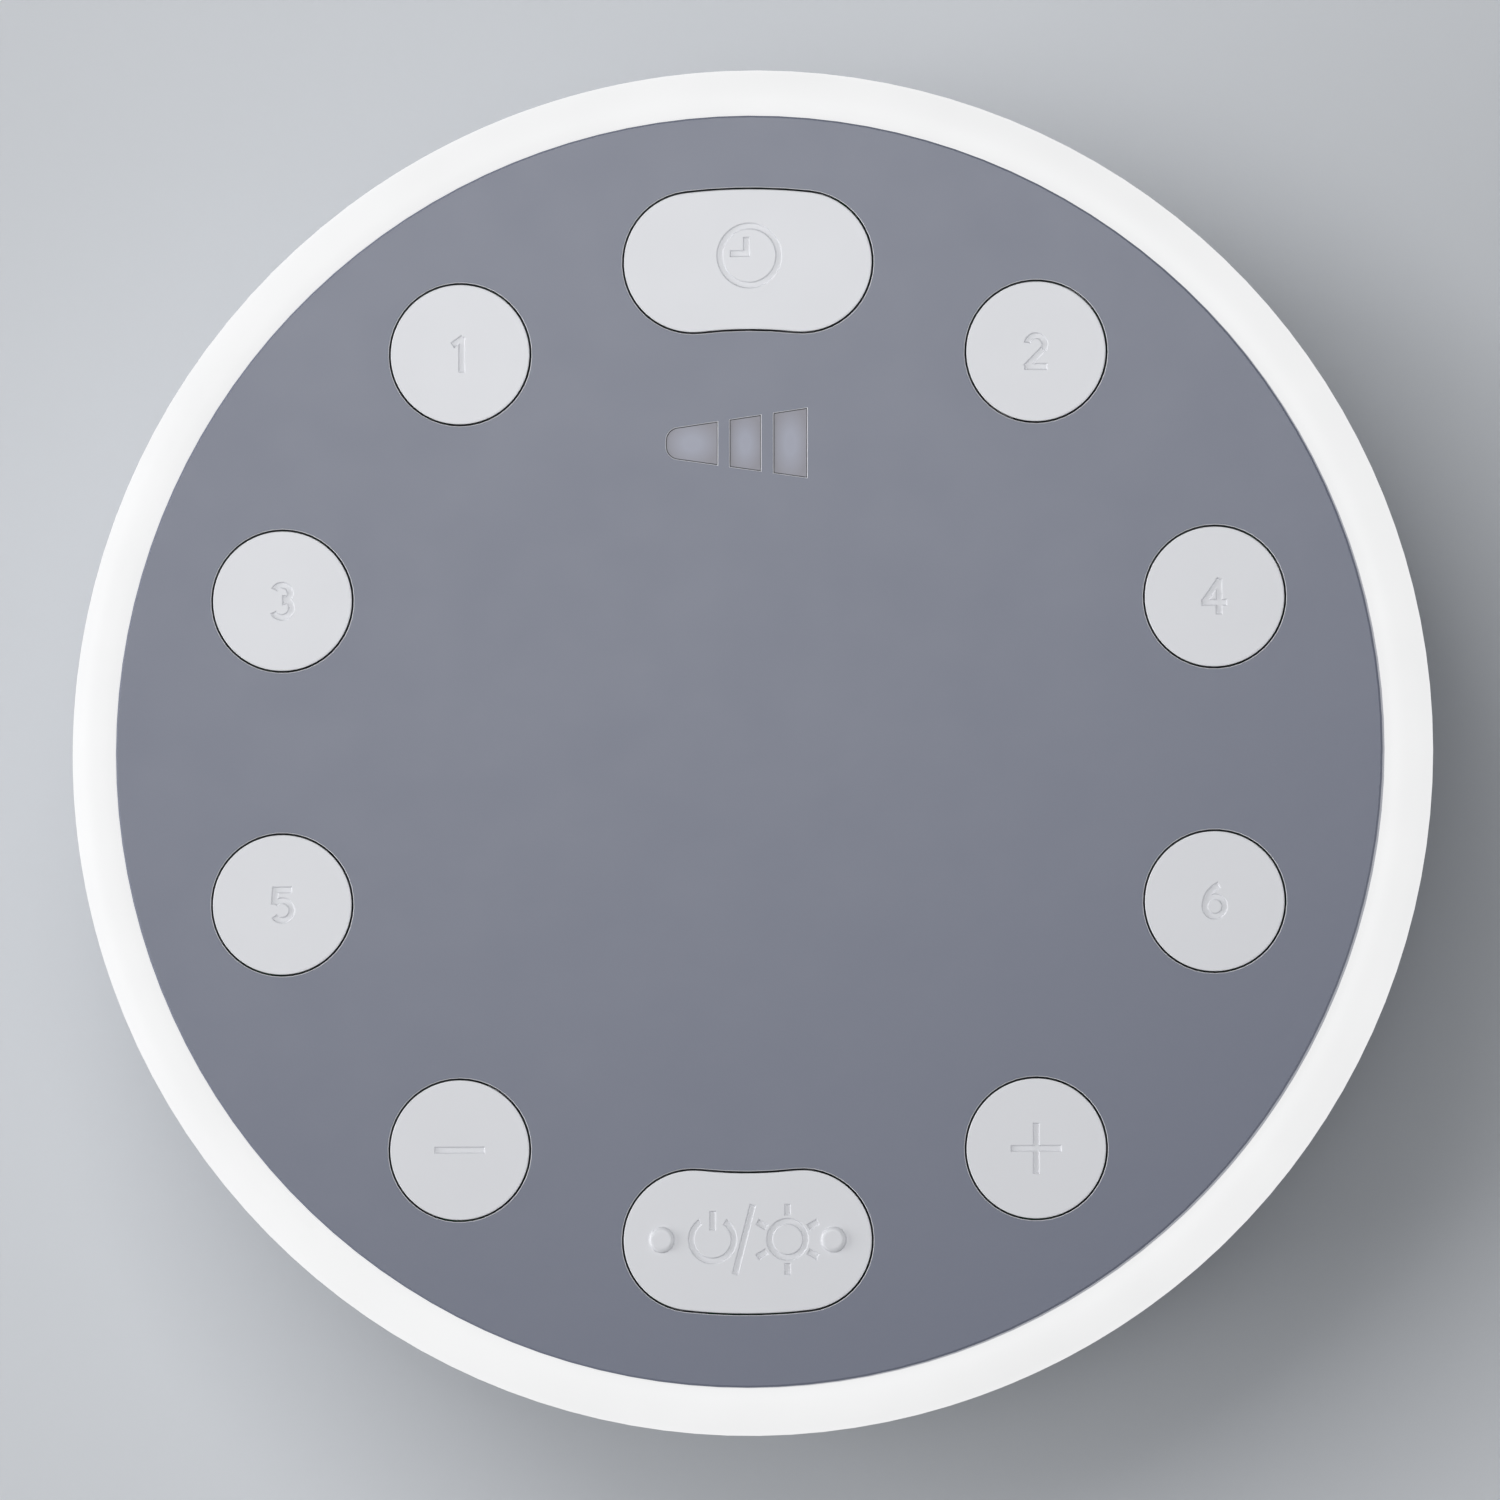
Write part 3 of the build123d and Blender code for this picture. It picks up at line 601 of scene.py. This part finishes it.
def bow(shape, centre, radius, start, end):
    """A stroke along an arc, in degrees, or a whole ring."""
    closed = abs(end - start) >= 360
    past_end = 0.8 * (groove_w - groove_floor_w)  # a step is longer than the slope at an end, or that folds
    steps = round(abs(end - start) / max(bow_step, math.degrees(past_end / radius)))
    turn = 1 if end > start else -1
    stations = []
    for i in range(steps if closed else steps + 1):
        a = math.radians(start + (end - start) * i / steps)
        point = (centre[0] + radius * math.cos(a), centre[1] + radius * math.sin(a))
        ending = 0 if closed else {0: -1, steps: 1}.get(i, 0)
        stations.append((point, (-turn * math.sin(a), turn * math.cos(a)), ending))
    channel(shape, stations, closed)


def clock(shape):
    bow(shape, clock_middle, clock_r, 0, 360)
    for start, end in clock_hands:
        bar(shape, start, end)


def minus(shape):
    bar(shape, (-sign_half, 0), (sign_half, 0))


def plus(shape):
    minus(shape)
    bar(shape, (0, -sign_half), (0, sign_half))


def power_and_light(shape):
    y = power_and_sun_y
    bow(shape, (power_x, y), power_r, 90 + power_gap, 450 - power_gap)
    bar(shape, (power_x, y + power_bar_foot), (power_x, y + power_bar_top))
    bar(shape, slash_foot, slash_top)
    bow(shape, (sun_x, y), sun_r, 0, 360)
    for i in range(sun_rays):
        a = math.radians(sun_first_ray + 360 / sun_rays * i)
        ends = []
        for reach in (sun_ray_near, sun_ray_far):
            ends.append((sun_x + reach * math.cos(a), y + reach * math.sin(a)))
        bar(shape, *ends)


# Strokes of the plain digits, as bars between two points or bows of centre, radius, start and end
digits = {
    1: [
        ("bar", (0.15, -1.7), (0.15, 1.7)),
        ("bar", (0.35, 1.62), (-0.75, 0.85)),
    ],
    2: [
        ("bow", (0, 0.62), 0.84, 170, -40),
        ("bar", (0.72, 0.25), (-0.98, -1.5)),
        ("bar", (-1.1, -1.42), (1.1, -1.42)),
    ],
    3: [
        ("bow", (-0.05, 0.72), 0.78, 155, -90),
        ("bow", (-0.05, -0.62), 0.9, 90, -155),
    ],
    4: [
        ("bar", (0.55, 1.66), (-1.05, -0.62)),
        ("bar", (-1.25, -0.55), (1.2, -0.55)),
        ("bar", (0.42, 1.7), (0.42, -1.7)),
    ],
    5: [
        ("bar", (-0.9, 1.4), (0.95, 1.4)),
        ("bar", (-0.62, 1.7), (-0.74, 0.0)),
        ("bow", (-0.02, -0.52), 0.92, 140, -145),
    ],
    6: [
        ("bow", (0, -0.5), 0.92, 0, 360),
        ("bow", (1.28, -0.5), 2.2, 180, 112),
    ],
}


def digit(number):
    strokes = digits[number]

    def draw(shape):
        for kind, *values in strokes:
            if kind == "bar":
                start, end = values
                bar(shape, Vector(start) * digit_scale, Vector(end) * digit_scale)
            else:
                centre, radius, start, end = values
                bow(shape, Vector(centre) * digit_scale, radius * digit_scale, start, end)
    return draw


symbols = {"timer": clock, "volume_down": minus, "volume_up": plus, "power_light": power_and_light}
for place, control in enumerate(numbered_caps):
    symbols[control] = digit(place + 1)


def without_packed_normals(mesh):
    """Drops the normals that came with the CAD mesh, because they don't fit changed faces."""
    packed = mesh.attributes.get("custom_normal")
    if packed:
        mesh.attributes.remove(packed)
    return mesh


def widen(shape, level, reach):
    """Moves the outer edges of a shape's faces at one level outward, in their plane."""
    shape.normal_update()
    play = level_play * MM
    outward = {}
    for edge in shape.edges:
        if any(abs(v.co.z - level) > play for v in edge.verts) or len(edge.link_faces) != 2:
            continue
        falling = [face for face in edge.link_faces if min(v.co.z for v in face.verts) < level - play]
        if len(falling) == 1:
            side = Vector((falling[0].normal.x, falling[0].normal.y, 0)).normalized()
            for vert in edge.verts:
                outward.setdefault(vert, []).append(side)
    for vert, sides in outward.items():
        vert.co += (sides[0] + sides[-1]) / (1 + sides[0].dot(sides[-1])) * reach


def softened(mesh, old_face_z, face_z):
    """The cap's mesh with its face widened and brought up to a new height, and its edge rounded over.

    Whatever stands on the face keeps its top where it was."""
    shape = bmesh.new()
    shape.from_mesh(mesh)
    bmesh.ops.remove_doubles(shape, verts=shape.verts, dist=weld * MM)
    bmesh.ops.dissolve_limit(shape, angle_limit=math.radians(0.5), verts=shape.verts, edges=shape.edges)
    widen(shape, old_face_z, cap_face_grow * MM)
    # A cap without dots has nothing above its face, and then any height above 0 will do
    dot_height = max(max(v.co.z for v in shape.verts) - old_face_z, bevel_reach * MM)
    for vert in shape.verts:
        above = vert.co.z - old_face_z
        if above > -bevel_reach * MM:
            vert.co.z += (face_z - old_face_z) * (1 - max(above, 0) / dot_height)
    rim = [edge for edge in shape.edges if all(abs(v.co.z - face_z) < weld * MM for v in edge.verts)]
    bmesh.ops.bevel(shape, geom=rim, offset=cap_edge_round * MM, segments=3, affect="EDGES", profile=0.5)
    result = bpy.data.meshes.new("cap")
    shape.to_mesh(result)
    shape.free()
    return without_packed_normals(result)


def keep_level(mesh):
    """Shades level faces as truly flat, so the channels cut into them leave no ripples."""
    normals = [corner.vector.copy() for corner in mesh.corner_normals]
    for face in mesh.polygons:
        if abs(face.normal.z) > 0.999:
            for corner in face.loop_indices:
                normals[corner] = face.normal
    mesh.normals_split_custom_set(normals)


def indicator_windows():
    """The milky pads, moulded up to the edges of their windows."""
    node = frame["nodes"]["indicator_lens"]
    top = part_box(node.name)[1].z
    shape = bmesh.new()
    shape.from_mesh(node.data)
    bmesh.ops.remove_doubles(shape, verts=shape.verts, dist=weld * MM)
    widen(shape, top, window_grow * MM)
    for vert in shape.verts:
        if vert.co.z > top - level_play * MM:
            vert.co.z += window_rise * MM
    mesh = bpy.data.meshes.new("windows")
    shape.to_mesh(mesh)
    shape.free()
    piece("indicator_windows", without_packed_normals(mesh), "case", "lens_milky", node.name)


def engraved_caps():
    """Every cap with its symbol cut in. A wide cap's symbol is over its plunger, not at its box's middle."""
    old_face_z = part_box("timer_button")[1].z
    face_z = old_face_z + cap_rise * MM
    for control, draw in symbols.items():
        node = frame["nodes"][control + "_button"]
        low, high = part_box(node.name)
        middle = (low + high) / 2
        if control in wide_caps:
            plunger_low, plunger_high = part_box(control + "_plunger")
            middle.y = (plunger_low.y + plunger_high.y) / 2
        stroke = bmesh.new()
        draw(stroke)
        cutter = as_mesh("cutter", stroke)
        cutter.transform(Matrix.Translation((middle.x, middle.y, face_z)))
        mesh = combined(softened(node.data, old_face_z, face_z), cutter, "DIFFERENCE")
        cap = piece(control + "_cap", mesh, control + "_key", "cap_white", node.name)
        keep_level(cap.data)


engraved_caps()
indicator_windows()


# ------------------------------------------------------------------ screws
def cross_cutter(reach, width, depth):
    """Cutter for a cross recess in a screw head whose top is at Z = 0, narrower towards its floor."""
    above, top_share, floor_share = 0.3, 1.1, 0.45
    shape = bmesh.new()
    for size in ((reach, width), (width, reach)):
        corners = []
        for z, share in ((above, top_share), (-depth, floor_share)):
            for sx, sy in ((-1, -1), (1, -1), (1, 1), (-1, 1)):
                corners.append(shape.verts.new((sx * size[0] * share, sy * size[1] * share, z)))
        shape.faces.new(corners[:4])
        shape.faces.new(corners[4:])
        for k in range(4):
            n = (k + 1) % 4
            shape.faces.new((corners[k], corners[n], corners[4 + n], corners[4 + k]))
    return as_mesh("cross", shape)


def screw_mesh(shank_r, head_r, head_h, length):
    """Pan-head screw with a cross recess and a cut thread, seat at Z = 0, head up."""
    crown = 0.35 * head_h            # rounding of the head
    flat_r = head_r * 0.72           # level part of its top
    head = [(0, head_h), (flat_r, head_h)]
    head += arc((head_r - crown, head_h - crown), crown, 70, 0, 4)
    head += [(head_r, 0), (shank_r, 0)]
    first = len(head)
    rows = round(length / thread_pitch * thread_rows)
    point = 0.12 * length            # end without a thread
    shank = [(shank_r, -(length - point) * (i + 1) / rows) for i in range(rows)]
    tip = [(shank_r * 0.5, -length + point * 0.35), (0, -length)]

    def threaded(i, radius, z, angle):
        if not first < i < first + rows:
            return radius
        turn = (z / thread_pitch - angle / (2 * math.pi)) % 1
        return radius - thread_depth * abs(2 * turn - 1)

    mesh = lathe("screw", head + shank + tip, screw_steps, threaded)
    cutter = cross_cutter(reach=head_r * 0.62, width=head_r * 0.15, depth=head_h * 0.62)
    cutter.transform(Matrix.Translation((0, 0, head_h * MM)))
    return combined(mesh, cutter, "DIFFERENCE")


def screws(node_name, angles, shank_r, head_r, head_h, flip=True):
    """Screws on a circle, whose radius, height and length come from the CAD node's box.

    Heads that are flipped look down."""
    low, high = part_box(node_name)
    widest = max(abs(math.cos(math.radians(a))) for a in angles)
    radius = (high.x - head_r * MM) / widest
    seat = low.z + head_h * MM if flip else high.z - head_h * MM
    length = (high.z - low.z) / MM - head_h
    mesh = screw_mesh(shank_r, head_r, head_h, length)
    mesh = copied(mesh, on_circle(radius, angles, seat, flip))
    piece(node_name + "_cut", mesh, "case", "screw_steel", node_name)


screws("case_screws", (0, 90, 180, 270), *case_screw)
screws("panel_screws", (36, 144, 216, 324), *case_screw)
screws("board_screws", (30, 150, 210, 330), *board_screw)
screws("speaker_screws", (45, 135, 225, 315), *board_screw, flip=False)


# ------------------------------------------------------------------ feet, cloth, gasket and surround
def rubber_feet():
    """Soft feet with a rounded sole edge and a shallow hollow in the sole."""
    low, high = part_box("rubber_feet")
    top = (high.z - low.z) / MM
    hollow = [(0, 0.35), (foot_r * 0.45, 0.3), (foot_r * 0.62, 0.08), (foot_r * 0.7, 0)]
    edge = arc((foot_r - foot_edge_round, foot_edge_round), foot_edge_round, -90, 0, 6)
    outline = hollow + edge + [(foot_r, top), (0, top)]
    circle = (high.x - foot_r * MM) / math.cos(math.radians(foot_angles[0]))
    mesh = copied(lathe("foot", outline), on_circle(circle, foot_angles, low.z))
    piece("rubber_feet_soft", mesh, "case", "foot_rubber", "rubber_feet")


def grille_cloth():
    """A disc of plain woven cloth, stretched behind the grille."""
    low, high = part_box("grille_cloth")
    radius = high.x / MM
    middle_z = (low.z + high.z) / 2 / MM
    step = weave_pitch / 3           # points across one thread
    count = int(radius / step)
    shape = bmesh.new()
    grid = {}
    for i in range(-count, count + 1):
        for j in range(-count, count + 1):
            x, y = i * step, j * step
            if math.hypot(x, y) > radius:
                continue
            rise = math.cos(math.pi * x / weave_pitch) * math.cos(math.pi * y / weave_pitch)
            grid[i, j] = shape.verts.new((x, y, middle_z + weave_rise * rise))
    for i, j in list(grid):
        corners = [grid.get(key) for key in ((i, j), (i + 1, j), (i + 1, j + 1), (i, j + 1))]
        if all(corners):
            shape.faces.new(corners)
    loose = [v for v in shape.verts if not v.link_faces]
    bmesh.ops.delete(shape, geom=loose, context="VERTS")
    cloth = piece("grille_weave", as_mesh("grille_weave", shape), "case", "cloth_black", "grille_cloth")


def gasket():
    """Foam ring squeezed between its seat and the speaker, bulging a little at both sides."""
    low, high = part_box("speaker_gasket")
    outer = high.x / MM - gasket_bulge
    inner = high.x / MM - gasket_w + gasket_bulge
    base, top = low.z / MM, high.z / MM
    half = (top - base) / 2
    outline = [(outer, base)]
    for a in gasket_side:
        outline.append((outer + gasket_bulge * math.cos(a), base + half + half * math.sin(a)))
    outline += [(outer, top), (inner, top)]
    for a in reversed(gasket_side):
        outline.append((inner - gasket_bulge * math.cos(a), base + half + half * math.sin(a)))
    outline.append((inner, base))
    mesh = lathe("gasket", outline, fine_steps)
    foam_ring = piece("gasket_foam_ring", mesh, "case", "gasket_foam", "speaker_gasket")


def surround():
    """Half roll of thin rubber between the basket's neck and the cone's rim, split along its lowest line.

    The inner half, whose lip sits under the cone's rim, is given no body to ride on."""
    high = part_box("speaker_surround")[1]
    neck, top = high.x / MM - glue_gap, high.z / MM
    cone_low, cone_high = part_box("speaker_cone")
    rim_r, rim_z = cone_high.x / MM, cone_low.z / MM - glue_gap
    middle, half = (neck + rim_r) / 2, (neck - rim_r) / 2
    level, drop = rim_z - roll_t / 2, roll_depth - roll_t / 2

    def roll(inset, start, end):
        """Points along the roll's outside, or along its inside where they are drawn in."""
        points = []
        for x, y in arc((0, 0), 1, start, end, 8):
            points.append((middle + (half - inset) * x, level + (drop - inset) * y))
        return points

    lowest, at_neck, at_lip, at_rim = 270, 360, 185, 180
    outline = roll(0, lowest, at_neck) + [(neck, top), (neck - roll_t, top)] + roll(roll_t, at_neck, lowest)
    mesh = lathe("surround", outline, fine_steps)
    piece("surround_outer_half", mesh, "case", "surround_rubber", "speaker_surround")
    lip_r = rim_r - roll_lip
    outline = roll(0, lowest, at_lip) + [(lip_r, rim_z - roll_t), (lip_r, rim_z), (rim_r + roll_t, rim_z)]
    outline += roll(roll_t, at_rim, lowest)
    mesh = lathe("surround", outline, fine_steps)
    bending = piece("surround_inner_half", mesh, None, "surround_rubber", "speaker_surround")
    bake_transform(bending)


rubber_feet()
grille_cloth()
gasket()
surround()


# ------------------------------------------------------------------ studio
def surface(name, colour, roughness):
    """Pale seamless paper: fine tooth and faint clouding."""
    made = Finish(name, colour, roughness)
    made.tint(made.ranged(made.noise(120, 3), 0.4, 0.7, 0, 0.5), darker(colour, 0.97))
    made.relief(made.noise(0.8, 3), 0.01)
    return made.material


def floor():
    half = floor_half
    mesh = bpy.data.meshes.new("floor")
    corners = [(-half, -half, 0), (half, -half, 0), (half, half, 0), (-half, half, 0)]
    mesh.from_pydata(corners, [], [(0, 1, 2, 3)])
    mesh.materials.append(surface("floor_paper", paint(222, 225, 229), 0.7))
    made = bpy.data.objects.new("floor", mesh)
    bpy.context.scene.collection.objects.link(made)


def softbox(name, place, width, height, watts):
    """A soft lamp aimed at the object."""
    lamp = bpy.data.lights.new(name, "AREA")
    lamp.shape = "RECTANGLE"
    lamp.size, lamp.size_y = width, height
    lamp.energy = watts
    made = bpy.data.objects.new(name, lamp)
    made.location = place
    aim = Vector(lamps_aim) - Vector(place)
    made.rotation_mode = "QUATERNION"
    made.rotation_quaternion = aim.to_track_quat("-Z", "Y")
    made.visible_camera = False
    bpy.context.scene.collection.objects.link(made)


def sky(strength, shown):
    """Even light from all round, paler where the camera, gloss or glass shows it."""
    world = bpy.data.worlds.new("studio")
    world.use_nodes = True
    tree = world.node_tree
    tree.nodes.clear()
    path = tree.nodes.new("ShaderNodeLightPath")
    shows = path.outputs["Is Camera Ray"]
    for ray in ("Is Glossy Ray", "Is Transmission Ray"):
        either = tree.nodes.new("ShaderNodeMath")
        either.operation = "MAXIMUM"
        tree.links.new(shows, either.inputs[0])
        tree.links.new(path.outputs[ray], either.inputs[1])
        shows = either.outputs[0]
    lit = tree.nodes.new("ShaderNodeBackground")
    lit.inputs["Color"].default_value = (0.95, 0.97, 1.0, 1)
    lit.inputs["Strength"].default_value = strength
    seen = tree.nodes.new("ShaderNodeBackground")
    seen.inputs["Color"].default_value = (0.93, 0.94, 0.96, 1)
    seen.inputs["Strength"].default_value = shown
    mix = tree.nodes.new("ShaderNodeMixShader")
    out = tree.nodes.new("ShaderNodeOutputWorld")
    tree.links.new(shows, mix.inputs[0])
    tree.links.new(lit.outputs[0], mix.inputs[1])
    tree.links.new(seen.outputs[0], mix.inputs[2])
    tree.links.new(mix.outputs[0], out.inputs["Surface"])
    bpy.context.scene.world = world


def camera():
    """The camera, aimed at the middle of the panel's face."""
    face = Vector((0, 0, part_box("top_panel")[1].z))
    right = math.tan(math.radians(camera_right))
    front = math.tan(math.radians(camera_front))
    back = Vector((right, -front, 1)).normalized()
    lens = bpy.data.cameras.new("camera")
    lens.sensor_width = camera_sensor
    lens.lens = lens.sensor_width * camera_distance / camera_field
    lens.shift_x, lens.shift_y = camera_shift
    lens.clip_start, lens.clip_end = 0.1, 50
    made = bpy.data.objects.new("camera", lens)
    side = Vector((0, 1, 0)).cross(back).normalized()
    up = back.cross(side)
    turn = Matrix((side, up, back)).transposed().to_4x4()
    made.matrix_world = Matrix.Translation(face + back * camera_distance) @ turn
    bpy.context.scene.collection.objects.link(made)
    bpy.context.scene.camera = made


floor()
softbox("key_softbox", (-0.075, 0.115, 0.526), 0.24, 0.24, 0.97)
softbox("low_softbox", (-1.4, 0.0, 0.4), 1.2, 0.5, 13.5)
softbox("fill_softbox", (1.3, -0.5, 0.6), 1.2, 0.9, 3.0)
sky(0.19, 0.9)
camera()
bpy.context.scene.view_settings.view_transform = "Standard"
